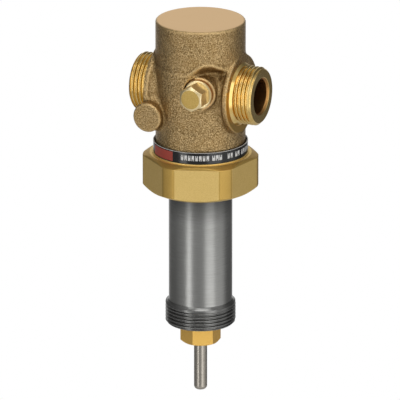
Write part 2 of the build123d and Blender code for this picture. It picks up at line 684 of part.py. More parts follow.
def stem():
    """Long stem with a clip groove, a pin hole and a rounded free end."""
    clip_top = SPRING_PLATE_TOP_Z - SPRING_PLATE_THICKNESS
    clip_bottom = clip_top - CLIP_THICKNESS
    bar = rod(STEM_R, STEM_TIP_Z, STEM_TOP_Z)
    bar = fillet(bar.edges().group_by(Axis.Z)[0], STEM_END_ROUND)
    bar = chamfer(bar.edges().group_by(Axis.Z)[-1], EDGE)
    groove = rod(STEM_R + OVERRUN, clip_bottom, clip_top) - rod(CLIP_GROOVE_R, clip_bottom, clip_top)
    return bar - groove - cross_bar(PIN_R, PIN_Z, STEM_R + OVERRUN)


def spring_plate():
    """Cupped plate on the stem that carries the spring's lower end."""
    low = SPRING_PLATE_TOP_Z - SPRING_PLATE_THICKNESS
    spigot_z = SPRING_PLATE_TOP_Z + SPIGOT_RISE
    bore = STEM_R + PRESS_GAP
    return turned([
        (bore, low),
        (SPRING_PLATE_R - EDGE, low),
        (SPRING_PLATE_R, low + EDGE),
        (SPRING_PLATE_R, SPRING_PLATE_TOP_Z),
        (SPRING_SPIGOT_R, SPRING_PLATE_TOP_Z),
        (SPRING_SPIGOT_R - EDGE, spigot_z),
        (bore, spigot_z),
    ])


def stem_clip():
    """Retaining ring in the stem's groove, under the spring plate."""
    high = SPRING_PLATE_TOP_Z - SPRING_PLATE_THICKNESS
    low = high - CLIP_THICKNESS
    ring = rod(CLIP_R, low, high) - rod(CLIP_GROOVE_R, low - OVERRUN, high + OVERRUN)
    half_gap = CLIP_GAP / 2
    return ring - block((-half_gap, 0, low - OVERRUN), (half_gap, CLIP_R + OVERRUN, high + OVERRUN))


def return_spring():
    """Coil spring between the guide plate and the spring plate."""
    low = SPRING_PLATE_TOP_Z + WIRE_R
    high = SPRING_TOP_Z - WIRE_R
    height = high - low
    path = Pos(0, 0, low) * Helix(height / SPRING_TURNS, height, SPRING_R)
    start = Plane(origin=path @ 0, z_dir=path % 0)
    return sweep(start * Circle(WIRE_R), path=path, is_frenet=True)


def save(name, solid):
    """Write one piece to its own STEP file."""
    export_step(solid, "parts/" + name + ".step")


save("valve_body", valve_body())
save("seat_ring", seat_ring())
save("balance_bush", balance_bush())
save("test_plug", test_plug())
save("test_plug_washer", test_plug_washer())
save("label_band", label_band())
save("union_nut", union_nut())
save("body_gasket", body_gasket())
save("neck_tube", neck_tube())
save("guide_plate", guide_plate())
save("gland_nut", gland_nut())
save("packing_washer", packing_washer())
for index, place in enumerate(("upper", "middle", "lower")):
    save("packing_ring_" + place, packing_ring(index))
save("wiper_ring", wiper_ring())
save("stem", stem())
save("valve_plug", valve_plug())
save("plug_seal", plug_seal())
save("piston_ring", piston_ring())
save("plug_pin", plug_pin())
save("spring_plate", spring_plate())
save("stem_clip", stem_clip())
save("return_spring", return_spring())
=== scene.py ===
"""The dressed look of a two-way control valve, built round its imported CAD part.

Lengths are in millimetres until a mesh is made. The pipe's axis is X and the stem's axis is Z. The cast
body is the zero surface of a distance worked out in numpy, so that its bosses and necks flow into the barrel
as in a casting. The machined pieces are grids of points turned about their axes, with threads and facets.
"""
import json
import math

import bmesh
import bpy
import numpy as np
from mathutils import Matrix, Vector


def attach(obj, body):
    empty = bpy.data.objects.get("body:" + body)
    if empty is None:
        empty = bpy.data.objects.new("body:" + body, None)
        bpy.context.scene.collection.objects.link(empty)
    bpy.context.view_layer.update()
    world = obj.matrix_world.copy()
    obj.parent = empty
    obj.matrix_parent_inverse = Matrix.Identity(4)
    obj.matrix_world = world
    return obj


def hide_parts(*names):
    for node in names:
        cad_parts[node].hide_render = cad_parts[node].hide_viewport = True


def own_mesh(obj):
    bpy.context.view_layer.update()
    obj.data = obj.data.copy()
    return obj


MM = 0.001
FULL_TURN = 2 * math.pi

# Barrel of the casting, with the ledge round its front and the pocket under the ledge's arch.
BODY_R = 25.4
BODY_TOP_Z = 40.5
BODY_TOP_EDGE = 1.3
BELLY_R = 26.2
BELLY_FOOT_Z = -22.0
BELLY_FOOT_LENGTH = 12.0
LEDGE_Z = 15.5
LEDGE_EDGE = 1.3
LEDGE_ARCH = 6.6
LEDGE_ARCH_X = 1.0
LEDGE_ARCH_LENGTH = 12.5
LEDGE_FALL = 3.2
LEDGE_FALL_X = 15.0
LEDGE_FALL_LENGTH = 7.0
POCKET_DEPTH = 5.2
POCKET_LIP = 0.6
POCKET_CEILING = 6.8
POCKET_HEIGHT = 11.0
POCKET_FADE = 14.0
POCKET_LEFT_X = 3.0
POCKET_SIDE_FADE = 8.0
SPIGOT_R = 25.0
SPIGOT_BOTTOM_Z = -50.0

# Ports: cast necks with their discs, and the turned ends.
PORT_FACE_X = 37.5
PORT_THREAD_R = 16.62
PORT_THREAD_DEPTH = 1.25
PORT_PITCH = 2.309
PORT_CHAMFER = 1.47
PORT_BORE_R = 10.2
PORT_BORE_TAPER = 0.4
PORT_MOUTH_LENGTH = 1.3
PORT_MOUTH_WIDENING = 0.7
PORT_NECK_R = 18.0
NECK_WAIST = 1.5
NECK_WAIST_X = 20.0
NECK_FLARE = 3.0
NECK_FLARE_X = 14.0
NECK_FLARE_LENGTH = 9.0
COLLAR_DISC_R = 22.0
COLLAR_DISC_FACE_X = 25.5
COLLAR_DISC_BACK_X = 23.0
TURNING_CLEAR_R = 23.0
FLARE_LENGTH = 1.5
FLARE_SLOPE = 0.8
FLARE_FOOT = 0.2
SLEEVE_OVERLAP = 0.2
SLEEVE_ROOT_X = 20.6
SLEEVE_ROOT_R = 11.9
SLEEVE_BACK = ((15.0, COLLAR_DISC_FACE_X - 0.3), (15.0, COLLAR_DISC_FACE_X - 0.6), (12.0, 25.0))

# Bosses on the front: the place of each, its radius, its face, and the depth at which it is rooted.
TEST_X = 10.2
TEST_Z = 5.1
TEST_BOSS_R = 9.4
TEST_FACE_Y = -24.0
TEST_ROOT_Y = -8.0
TEST_THREAD_R = 4.86
TEST_THREAD_LENGTH = 7.8
SPOT_FACE_R = TEST_BOSS_R - 0.4
BLIND_X = -20.7
BLIND_Z = -12.1
BLIND_R = 8.47
BLIND_FACE_Y = -28.0
BLIND_ROOT_Y = -10.0
BLIND_PAD_R = 9.6
BLIND_PAD_Y = -21.4
BLIND_PAD_ROOT_Y = -12.0

# Hollow of the casting.
CHAMBER_R = 14.5
CHAMBER_END_X = 20.0
BORE_CLEARANCE = 0.5
BORE_START_X = 14.0
SLOT_R = 19.0
SLOT_END_X = 10.0
SLOT_TOP_Z = 33.5
INLET_FLOOR_Z = -10.5
SEAT_WALL_R = 13.6
SEAT_WALL_HALF = 4.0
CROSS_WALL_HALF = 2.0
ROOF_BOSS_R = 12.0
ROOF_BOSS_Z = 24.0
UPPER_CAVITY_R = 21.4
UPPER_CAVITY_TOP_Z = 34.5
LOWER_CAVITY_R = 19.5
LOWER_CAVITY_TOP_Z = -14.0
LOWER_CAVITY_OPEN = 9.0
PASSAGE_R = 10.6
SEAT_HOLE_R = 9.0
BALANCE_BORE_R = 9.5
BALANCE_BORE_TOP_Z = 36.0
OVERLAP = 1.0

# Round spaces on the stem's axis: radius, lower end, upper end and the radius of their edges. They are the
# passages above and below the seat's wall, the lower cavity, the seat hole and the balance bore.
STEM_AXIS_SPACES = (
    (PASSAGE_R, SEAT_WALL_HALF, ROOF_BOSS_Z + OVERLAP, 0.5),
    (PASSAGE_R, LOWER_CAVITY_TOP_Z - OVERLAP, -SEAT_WALL_HALF, 0.5),
    (LOWER_CAVITY_R, SPIGOT_BOTTOM_Z - LOWER_CAVITY_OPEN, LOWER_CAVITY_TOP_Z, 1.5),
    (SEAT_HOLE_R, -SEAT_WALL_HALF - OVERLAP, SEAT_WALL_HALF + OVERLAP, 0.2),
    (BALANCE_BORE_R, ROOF_BOSS_Z - OVERLAP, BALANCE_BORE_TOP_Z, 0.2),
)

# Test plug: shank and flange as (radius, height over the boss's face), then the hexagon.
PLUG_SHANK = ((0.0, -6.9), (4.0, -6.9), (4.8, -6.3), (4.8, 1.0))
PLUG_FLANGE = ((7.7, 1.0), (8.1, 1.15), (8.2, 1.5), (8.2, 2.1), (8.05, 2.45), (7.7, 2.6))
PLUG_HALF_FLAT = 6.5
PLUG_HEXAGON_FOOT = PLUG_FLANGE[-1][1]
PLUG_CONE = 1.6
PLUG_END = 12.8
PLUG_END_R = 5.6

# Union nut, whose lip stands above its facets.
NUT_TOP_Z = -36.5
NUT_BOTTOM_Z = -59.0
NUT_HALF_FLAT = 30.0
NUT_CORNER_R = 32.7
NUT_TOP_R = 28.8
NUT_BOTTOM_R = 27.0
NUT_CONE = 2.1
NUT_FACET_DEG = -70.0
NUT_LIP_R = 27.4
NUT_LIP_HEIGHT = 0.8
NUT_FACETS_TOP_Z = NUT_TOP_Z - NUT_LIP_HEIGHT
NUT_MOUTH_R = 25.6
NUT_BORE_R = 25.03
NUT_BORE_CHAMFER = 0.6
NUT_FOOT_CHAMFER = 0.5
NUT_FLANGE_ROOM_R = 25.43
NUT_FLANGE_ROOM_TOP_Z = -51.0
NUT_TUBE_HOLE_R = 20.2

# Neck, with its flange, its threaded collar and its stepped bore.
FLANGE_R = 23.6
FLANGE_TOP_Z = -51.2
FLANGE_BOTTOM_Z = -55.2
TUBE_R = 18.0
COLLAR_THREAD_R = 20.0
COLLAR_THREAD_DEPTH = 1.05
COLLAR_PITCH = 2.0
COLLAR_TOP_Z = -124.1
COLLAR_BOTTOM_Z = -138.5
COLLAR_CHAMFER = 1.3
COLLAR_CONE_LENGTH = 2.5
COLLAR_PLAIN_LENGTH = 3.6
COLLAR_PLAIN_DEPTH = 0.25
GUIDE_SEAT_R = 17.0
GUIDE_SEAT_Z = -54.0
SPRING_ROOM_R = 15.0
SPRING_ROOM_FLOOR_Z = -96.6
STEM_ROOM_R = 11.5
STEM_ROOM_FLOOR_Z = -118.0
STEM_HOLE_R = 4.1
PACKING_R = 6.75
PACKING_TOP_Z = -121.5
GLAND_THREAD_R = 8.5
GLAND_THREAD_TOP_Z = -129.0

# Gland nut, with the shank that presses on the packing. Its hexagon starts a hair below the collar.
GLAND_HALF_FLAT = 10.0
GLAND_END_R = GLAND_HALF_FLAT - 0.3
GLAND_TOP_Z = COLLAR_BOTTOM_Z - 0.02
GLAND_BOTTOM_Z = -150.4
GLAND_FACET_DEG = -58.8
GLAND_WIPER_R = 5.6
GLAND_WIPER_TOP_Z = GLAND_BOTTOM_Z + 2.2
GLAND_BORE_R = 3.9
GLAND_NOSE_R = 6.6
GLAND_NOSE_Z = -127.7
GLAND_SHANK_R = 8.4
GLAND_SHANK_TOP_Z = -131.0

# Return spring between its plate on the stem and the guide plate.
SPRING_PLATE_Z = -94.0
SPRING_TOP_Z = GUIDE_SEAT_Z
SPRING_R = 11.0
SPRING_TURNS = 7
WIRE_R = 1.2

# Band above the nut, its red field, its white marks and the painted highlight on its top edge, with heights
# from its lower edge.
BAND_R = 26.8
BAND_INNER_R = 26.2
BAND_FOOT_R = 25.45
BAND_FOOT = 1.0
BAND_BOTTOM_Z = NUT_TOP_Z + 0.1
BAND_HEIGHT = 6.5
BAND_HIGHLIGHT_RISE = 6.38
RED_FIELD_DEG = (-139.5, -101.5)
RED_FIELD_RISE = (0.5, 5.9)
MARK_GROUPS = ((-90.0, 8), (-51.4, 3), (-31.0, 2), (-18.8, 2), (-7.0, 4))
MARK_PITCH_DEG = 4.5
MARK_WIDTH_DEG = 3.2
MARK_NOTCH_DEG = 1.2
MARK_BRIDGE = 0.3
MARK_MIDDLE = 3.3
MARK_HEIGHT = 2.9

# Fineness of the casting's grid and of the threads.
CASTING_STEP = 0.62
CASTING_LOW = (-33.0, -30.0, -52.0)
CASTING_HIGH = (28.0, 28.0, 43.0)
ROWS_PER_PITCH = 32

# View of the photograph, floor and light.
IMAGE_PIXELS = 400
PIXELS_PER_MM = 1.768
VIEW_AZIMUTH = 24.3
VIEW_ELEVATION = 18.4
VIEW_DISTANCE = 4500.0
VIEW_AIM_Z = -66.3
VIEW_AIM_RIGHT = -0.32
FLOOR_Z = -750.0
FLOOR_R = 1500.0
FLOOR_GREY = (0.8, 0.8, 0.8, 1.0)
FLOOR_GLOW = 0.86
WHITE = (1.0, 1.0, 1.0, 1.0)
LAMP_AIM = Vector((0.0, 0.0, -0.1))

# Brightness of the room by the turn from the camera's side, in degrees, positive to its right.
ROOM = ((-180, 1.0), (-165, 0.85), (-145, 0.2), (-105, 0.17), (-70, 0.34), (0, 0.44), (80, 0.85), (108, 0.14),
        (150, 0.14), (168, 0.85), (180, 1.0))

# Brightness of the ceiling, and the rise of a direction at which the room starts and ends to turn into it.
CEILING = 0.45
CEILING_FROM = 0.45
CEILING_FULL = 0.9

# Lamps: name, turn from the camera's side in degrees, height, distance and size in metres, and watts.
LAMPS = (
    ("soft_left", -42.0, 0.1, 1.2, (0.38, 2.2), 5.4),
    ("soft_right", 34.0, -0.05, 1.2, (0.75, 1.9), 5.2),
    ("soft_top", 10.0, 1.2, 0.5, (0.9, 0.9), 6.0),
)


# Distances, each negative inside the metal.
def smooth_step(t):
    """0 below t = 0, 1 above t = 1, and 3t^2 - 2t^3 between."""
    t = np.clip(t, 0, 1)
    return t * t * (3 - 2 * t)


def smooth_min(a, b, reach):
    """Lower of a and b less h^2 reach / 4, where h = 1 - |a - b| / reach while that is positive."""
    h = np.maximum(1 - np.abs(a - b) / reach, 0)
    return np.minimum(a, b) - h * h * reach / 4


def smooth_max(a, b, reach):
    """Higher of a and b, blended in the same way as smooth_min."""
    return -smooth_min(-a, -b, reach)


def bar_distance(across, along, radius, low, high, edge):
    """Distance to a round bar: length of (wall, end) where both are positive, less the edge's radius."""
    wall = across - (radius - edge)
    end = np.abs(along - (low + high) / 2) - ((high - low) / 2 - edge)
    outside = np.hypot(np.maximum(wall, 0), np.maximum(end, 0))
    return outside + np.minimum(np.maximum(wall, end), 0) - edge


def ledge_height(x):
    """Height of the ledge round the front: level on the left, arching over the pocket on the right."""
    arch = LEDGE_ARCH * smooth_step((x - LEDGE_ARCH_X) / LEDGE_ARCH_LENGTH)
    return LEDGE_Z + (arch - LEDGE_FALL * smooth_step((x - LEDGE_FALL_X) / LEDGE_FALL_LENGTH))


def barrel_radius(x, y, z):
    """Barrel's radius: swollen below the ledge down to the belly's foot, less the pocket under the arch.

    The pocket deepens to POCKET_DEPTH over the height POCKET_CEILING and fades out downwards, to the left
    and towards the back.
    """
    below = ledge_height(x) - z
    swell = smooth_step((below + LEDGE_EDGE) / (2 * LEDGE_EDGE))
    swell = swell * smooth_step((z - BELLY_FOOT_Z) / BELLY_FOOT_LENGTH)
    pocket = smooth_step((below - POCKET_LIP) / POCKET_CEILING)
    pocket = pocket * (1 - smooth_step((below - POCKET_HEIGHT) / POCKET_FADE))
    pocket = pocket * smooth_step((x - POCKET_LEFT_X) / POCKET_SIDE_FADE) * smooth_step(-y / POCKET_SIDE_FADE)
    return BODY_R + (BELLY_R - BODY_R) * swell - POCKET_DEPTH * pocket


def neck_radius(x):
    """Radius of a port's neck: slimmer by a straight taper towards the stem, flared towards its disc."""
    out = np.abs(x)
    waist = NECK_WAIST * np.clip(1 - out / NECK_WAIST_X, 0, 1)
    return PORT_NECK_R - waist + NECK_FLARE * smooth_step((out - NECK_FLARE_X) / NECK_FLARE_LENGTH)


def add_test_boss(body, x, y, z):
    """Distance to a body with the test boss blended on and its spot face cut flat."""
    around = np.hypot(x - TEST_X, z - TEST_Z)
    boss = bar_distance(around, y, TEST_BOSS_R, TEST_FACE_Y, TEST_ROOT_Y, edge=0.9)
    spot = np.maximum(around - SPOT_FACE_R, y - TEST_FACE_Y)
    return smooth_max(smooth_min(body, boss, reach=3.0), -spot, reach=0.3)


def add_blind_boss(body, x, y, z):
    """Distance to a body with the blind boss blended on, over the wider pad at its root."""
    around = np.hypot(x - BLIND_X, z - BLIND_Z)
    pad = bar_distance(around, y, BLIND_PAD_R, BLIND_PAD_Y, BLIND_PAD_ROOT_Y, edge=1.4)
    boss = bar_distance(around, y, BLIND_R, BLIND_FACE_Y, BLIND_ROOT_Y, edge=1.1)
    return smooth_min(smooth_min(body, pad, reach=3.0), boss, reach=1.6)


def casting_outside(x, y, z):
    """Distance to the casting's outside: barrel, necks, discs and bosses, blended, and the spigot."""
    around_z = np.hypot(x, y)
    around_x = np.hypot(y, z)
    barrel = smooth_max(around_z - barrel_radius(x, y, z), z - BODY_TOP_Z, BODY_TOP_EDGE)
    barrel = np.maximum(barrel, NUT_TOP_Z - z)
    neck = bar_distance(around_x, x, neck_radius(x), -COLLAR_DISC_FACE_X, COLLAR_DISC_FACE_X, edge=0.3)
    disc = bar_distance(around_x, np.abs(x), COLLAR_DISC_R, COLLAR_DISC_BACK_X, COLLAR_DISC_FACE_X, edge=0.6)
    body = smooth_min(smooth_min(barrel, neck, reach=4.0), disc, reach=1.6)
    body = add_blind_boss(add_test_boss(body, x, y, z), x, y, z)
    turning = np.maximum(COLLAR_DISC_FACE_X - np.abs(x), around_x - TURNING_CLEAR_R)
    body = smooth_max(body, -turning, reach=0.4)
    spigot = bar_distance(around_z, z, SPIGOT_R, SPIGOT_BOTTOM_Z, BELLY_FOOT_Z, edge=0.4)
    return np.minimum(body, spigot)


def casting_hollow(x, y, z):
    """Distance to the hollow: two chambers parted by the seat's wall, the cavities and the bores."""
    around_z = np.hypot(x, y)
    around_x = np.hypot(y, z)
    chamber = bar_distance(around_x, x, CHAMBER_R, -CHAMBER_END_X, CHAMBER_END_X, edge=1.5)
    slot = np.maximum(np.maximum(around_z - SLOT_R, x - SLOT_END_X), z - SLOT_TOP_Z)
    inlet = np.maximum(np.maximum(np.minimum(chamber, slot), CROSS_WALL_HALF - x), INLET_FLOOR_Z - z)
    inlet = np.maximum(inlet, -np.maximum(around_z - SEAT_WALL_R, z - SEAT_WALL_HALF))
    outlet = np.maximum(chamber, x + CROSS_WALL_HALF)
    outlet = np.maximum(outlet, -np.maximum(around_z - SEAT_WALL_R, -SEAT_WALL_HALF - z))
    upper = bar_distance(around_z, z, UPPER_CAVITY_R, ROOF_BOSS_Z, UPPER_CAVITY_TOP_Z, edge=2.0)
    upper = np.maximum(upper, -np.maximum(around_z - ROOF_BOSS_R, ROOF_BOSS_Z - z))
    hollow = np.minimum(np.minimum(inlet, outlet), upper)
    for radius, low, high, edge in STEM_AXIS_SPACES:
        hollow = np.minimum(hollow, bar_distance(around_z, z, radius, low, high, edge))
    bore = np.maximum(around_x - PORT_BORE_R - BORE_CLEARANCE, BORE_START_X - np.abs(x))
    around_test = np.hypot(x - TEST_X, z - TEST_Z)
    screw_end = TEST_FACE_Y + TEST_THREAD_LENGTH
    screw = bar_distance(around_test, y, TEST_THREAD_R, TEST_FACE_Y - 2, screw_end, edge=0.2)
    return np.minimum(np.minimum(hollow, bore), screw)


def casting_distance(x, y, z):
    """Distance to the whole casting: inside its outside and outside its hollow."""
    return smooth_max(casting_outside(x, y, z), -casting_hollow(x, y, z), reach=0.8)


def surface_net(sampled, low, step):
    """Points and quads of the surface where a sampled distance is zero.

    Each cell that the surface crosses gets the mean of the crossings on its edges, and each crossed edge
    gets the quad of its four cells.
    """
    cells = np.array(sampled.shape) - 1
    total = np.zeros((int(cells.prod()), 3))
    count = np.zeros(int(cells.prod()))
    quads = []
    for axis in range(3):
        first = np.take(sampled, np.arange(cells[axis]), axis)
        second = np.take(sampled, np.arange(cells[axis]) + 1, axis)
        where = np.argwhere((first < 0) != (second < 0))
        start = first[tuple(where.T)]
        end = second[tuple(where.T)]
        crossing = where.astype(float)
        crossing[:, axis] += start / (start - end)
        one, other = [a for a in range(3) if a != axis]
        ring = []
        for shift_one, shift_other in ((-1, -1), (0, -1), (0, 0), (-1, 0)):
            cell = where.copy()
            cell[:, one] += shift_one
            cell[:, other] += shift_other
            index = np.ravel_multi_index(cell.T, cells)
            ring.append(index)
            count += np.bincount(index, minlength=len(count))
            for k in range(3):
                total[:, k] += np.bincount(index, crossing[:, k], len(count))
        quad = np.stack(ring, axis=1)
        backward = (start > 0) ^ (axis == 1)
        quad[backward] = quad[backward][:, ::-1]
        quads.append(quad)
    used = np.flatnonzero(count)
    renumber = np.zeros(len(count), int)
    renumber[used] = np.arange(len(used))
    points = low + step * total[used] / count[used, None]
    return points, renumber[np.concatenate(quads)]


def distance_slope(distance, points, reach):
    """Gradient of a distance at some points, by central differences over reach."""
    slope = np.zeros_like(points)
    for k in range(3):
        shift = np.zeros(3)
        shift[k] = reach
        slope[:, k] = distance(*(points + shift).T) - distance(*(points - shift).T)
    return slope / (2 * reach)


def settle(distance, points, rounds, longest=0.3, least_steepness=0.25):
    """Points moved along the gradient g of the distance d by -d g / |g|^2, at most `longest` mm a round."""
    for _ in range(rounds):
        value = distance(*points.T)
        slope = distance_slope(distance, points, reach=0.05)
        steepness = np.maximum((slope ** 2).sum(1), least_steepness)
        move = np.clip(value / steepness, -longest, longest)
        points = points - move[:, None] * slope
    return points


def bend_of(distance, points, reach):
    """Sum of a distance's second differences: positive on outward edges, negative in hollows, in 1/mm."""
    total = -6 * distance(*points.T)
    for k in range(3):
        shift = np.zeros(3)
        shift[k] = reach
        total = total + distance(*(points + shift).T) + distance(*(points - shift).T)
    return total / reach ** 2


# Meshes.
def make_piece(name, points, faces, materials, hard_deg=None):
    """Object from points in mm and faces in numpy, turned outward by the sign of its volume."""
    a, b, c, d = (points[faces[:, k]] for k in range(4))
    volume = (a * (np.cross(b, c) + np.cross(c, d))).sum()
    if volume < 0:
        faces = faces[:, ::-1]
    mesh = bpy.data.meshes.new(name)
    mesh.from_pydata((points * MM).tolist(), [], faces.tolist())
    for material in materials:
        mesh.materials.append(material)
    mesh.shade_smooth()
    if hard_deg:
        mesh.set_sharp_from_angle(angle=math.radians(hard_deg))
    piece = bpy.data.objects.new(name, mesh)
    bpy.context.scene.collection.objects.link(piece)
    return piece


def face_centres(piece):
    """Middle of every face, in mm."""
    centres = np.zeros(3 * len(piece.data.polygons))
    piece.data.polygons.foreach_get("center", centres)
    return centres.reshape(-1, 3) / MM


def pick_material(piece, choice):
    """Gives each face the material whose number `choice` holds for it."""
    piece.data.polygons.foreach_set("material_index", np.asarray(choice).astype(int))


def close_poles(piece):
    """Merges the points that lie on one another where a surface meets its axis or ends in a point."""
    touching_m = 1e-7
    shell = bmesh.new()
    shell.from_mesh(piece.data)
    bmesh.ops.remove_doubles(shell, verts=shell.verts, dist=touching_m)
    shell.to_mesh(piece.data)
    shell.free()


def soften(outline, cut, steps=4):
    """Closed outline with curves (1-t)^2 a + 2t(1-t) corner + t^2 b for corners, a and b being `cut` away.

    The cut stays a little under half of each side, so that two curves never meet.
    """
    over_half = 2.01
    corners = np.array(outline, float)
    to_last = np.roll(corners, 1, axis=0) - corners
    to_next = np.roll(corners, -1, axis=0) - corners
    t = np.linspace(0, 1, steps)[:, None]
    curves = []
    for corner, last, following in zip(corners, to_last, to_next):
        last_length = np.hypot(*last)
        next_length = np.hypot(*following)
        a = corner + last * min(cut, last_length / over_half) / last_length
        b = corner + following * min(cut, next_length / over_half) / next_length
        curves.append((1 - t) ** 2 * a + 2 * t * (1 - t) * corner + t ** 2 * b)
    return np.concatenate(curves)


def grid_faces(rows, columns):
    """Quads of a grid that closes round both its rows and its columns."""
    row, column = np.meshgrid(np.arange(rows), np.arange(columns), indexing="ij")
    next_row = (row + 1) % rows
    next_column = (column + 1) % columns
    corners = [row * columns + column, next_row * columns + column]
    corners += [next_row * columns + next_column, row * columns + next_column]
    return np.stack(corners, axis=-1).reshape(-1, 4)


def angles(columns):
    """Evenly spaced angles of a full turn."""
    return np.arange(columns) * FULL_TURN / columns


def turned_points(radius, height, columns):
    """Grid of points (r cos a, r sin a, h), where r and h may differ from angle to angle."""
    turn = angles(columns)[None, :]
    radius, height = [np.broadcast_to(values, (len(values), columns)) for values in (radius, height)]
    grid = np.stack([radius * np.cos(turn), radius * np.sin(turn), height], axis=-1)
    return grid.reshape(-1, 3)


def stack_rows(*parts):
    """Joins (radius, height) rows into two grids, spreading plain rows over all the columns."""
    columns = max(np.shape(part[0])[1] for part in parts if np.ndim(part[0]) == 2)
    grids = []
    for k in range(2):
        rows = [np.broadcast_to(p[k] if np.ndim(p[k]) == 2 else np.asarray(p[k])[:, None],
                                (len(p[k]), columns)) for p in parts]
        grids.append(np.concatenate(rows))
    return grids


def thread_radius(height, columns, crest_r, depth, pitch):
    """Right-handed thread: r = crest - depth s, with s a rounded saw of the phase h / pitch - a / turn."""
    crest_width = 0.12
    flank_steepness = 1.25
    phase = (height[:, None] / pitch - angles(columns)[None, :] / FULL_TURN) % 1.0
    saw = 1 - np.abs(2 * phase - 1)
    return crest_r - depth * smooth_step(flank_steepness * saw - crest_width)


def hexagon_radius(columns, half_flat, facet_deg):
    """Row of a hexagon's radius at each angle: half_flat / cos(angle from the nearest facet's middle)."""
    sixth = FULL_TURN / 6
    offset = (angles(columns) - math.radians(facet_deg) + sixth / 2) % sixth - sixth / 2
    return (half_flat / np.cos(offset))[None, :]


# Materials.
def node(tree, kind, inputs=None, **settings):
    """Adds a shader node. Each input is a value, or the output that feeds it."""
    made = tree.nodes.new("ShaderNode" + kind)
    for name, value in settings.items():
        setattr(made, name, value)
    for name, value in (inputs or {}).items():
        if isinstance(value, bpy.types.NodeSocket):
            tree.links.new(value, made.inputs[name])
        else:
            made.inputs[name].default_value = value
    return made


def new_material(name):
    """Material with a Principled shader, its node tree and that shader."""
    material = bpy.data.materials.new(name)
    material.use_nodes = True
    tree = material.node_tree
    return material, tree, tree.nodes["Principled BSDF"]


def linear(red, green, blue):
    """Linear colour with alpha from sRGB values of 0 to 255."""
    parts = [value / 255 for value in (red, green, blue)]
    return (*[p / 12.92 if p <= 0.04045 else ((p + 0.055) / 1.055) ** 2.4 for p in parts], 1.0)


def noise(tree, grain_mm, detail=2.0, stretch=None):
    """Noise on object coordinates with grains of that size, and stretched along an axis if asked."""
    place = node(tree, "TexCoord").outputs["Object"]
    if stretch:
        place = node(tree, "Mapping", {"Vector": place, "Scale": stretch}).outputs["Vector"]
    inputs = {"Vector": place, "Scale": 1 / (grain_mm * MM), "Detail": detail}
    return node(tree, "TexNoise", inputs).outputs["Fac"]


def mixed(tree, share, low, high):
    """Colour between two others by a share."""
    made = node(tree, "Mix", {"Factor": share}, data_type="RGBA")
    for socket, value in ((made.inputs[6], low), (made.inputs[7], high)):
        if isinstance(value, bpy.types.NodeSocket):
            tree.links.new(value, socket)
        else:
            socket.default_value = value
    return made.outputs[2]


def ranged(tree, value, low, high, to_low=0.0, to_high=1.0):
    """Value mapped from one range to another and clamped."""
    inputs = {"Value": value, "From Min": low, "From Max": high, "To Min": to_low, "To Max": to_high}
    return node(tree, "MapRange", inputs).outputs["Result"]


def cast_bronze():
    """Sand-cast bronze: grainy, with a painted highlight on its edges and painted shade in its hollows, tan
    where milled, golden where turned.
    """
    pit = linear(124, 100, 62)
    crest = linear(216, 186, 136)
    patch = linear(162, 130, 80)
    painted_edge_highlight = linear(222, 190, 136)
    painted_hollow_shade = linear(112, 86, 48)
    milled_tan = linear(217, 180, 126)
    turned_gold = linear(214, 172, 92)
    material, tree, shader = new_material("cast_bronze_skin")
    grain = noise(tree, grain_mm=0.7)
    patches = noise(tree, grain_mm=7.0)
    bend, milled, golden = [node(tree, "Attribute", attribute_name=name).outputs["Fac"]
                            for name in ("bend", "milled", "golden")]
    body = mixed(tree, ranged(tree, grain, 0.38, 0.68), pit, crest)
    body = mixed(tree, ranged(tree, patches, 0.35, 0.7, to_high=0.35), body, patch)
    # painted highlight on outward edges and painted shade in hollows, both from the bend attribute
    body = mixed(tree, ranged(tree, bend, 0.12, 0.6, to_high=0.4), body, painted_edge_highlight)
    body = mixed(tree, ranged(tree, bend, -0.05, -0.5, to_high=0.5), body, painted_hollow_shade)
    colour = mixed(tree, golden, mixed(tree, milled, body, milled_tan), turned_gold)
    tree.links.new(colour, shader.inputs["Base Color"])
    shader.inputs["Metallic"].default_value = 1.0
    tree.links.new(ranged(tree, milled, 0.0, 1.0, to_low=0.36, to_high=0.40), shader.inputs["Roughness"])
    smooth = node(tree, "Math", {0: milled, 1: golden}, operation="MAXIMUM").outputs[0]
    strength = ranged(tree, smooth, 0.0, 1.0, to_low=0.6, to_high=0.04)
    waves = node(tree, "Bump", {"Strength": strength, "Distance": 0.9 * MM, "Height": patches})
    bump = node(tree, "Bump", {"Strength": strength, "Distance": 0.85 * MM, "Height": grain,
                               "Normal": waves.outputs["Normal"]})
    tree.links.new(bump.outputs["Normal"], shader.inputs["Normal"])
    return material


def shaded_by_height(tree, tone, dim):
    """Painted shadow: the tone times a share that goes from one to another between two heights in mm."""
    (top, top_share), (low, low_share) = dim
    place = node(tree, "TexCoord").outputs["Object"]
    height = node(tree, "SeparateXYZ", {"Vector": place}).outputs["Z"]
    share = ranged(tree, height, low * MM, top * MM, low_share, top_share)
    return node(tree, "VectorMath", {0: tone, "Scale": share}, operation="SCALE").outputs["Vector"]


def machined(name, colour, shade, roughness, grain_mm=0.5, depth_mm=0.05, stretch=None, metallic=1.0,
             dim=None):
    """Machined metal whose tone varies a little and whose fine marks may be stretched into turning lines.

    dim holds pairs of a height in mm and the share of the tone that is left there; it paints a shadow that
    darkens the tone towards one height.
    """
    material, tree, shader = new_material(name)
    marks = noise(tree, grain_mm, stretch=stretch)
    patches = noise(tree, grain_mm=9.0, detail=1.0)
    tone = mixed(tree, ranged(tree, marks, 0.35, 0.65), shade, colour)
    tone = mixed(tree, ranged(tree, patches, 0.3, 0.8, to_high=0.4), tone, shade)
    if dim:
        tone = shaded_by_height(tree, tone, dim)
    tree.links.new(tone, shader.inputs["Base Color"])
    shader.inputs["Metallic"].default_value = metallic
    shader.inputs["Roughness"].default_value = roughness
    bump = node(tree, "Bump", {"Strength": 0.5, "Distance": depth_mm * MM, "Height": marks})
    tree.links.new(bump.outputs["Normal"], shader.inputs["Normal"])
    return material


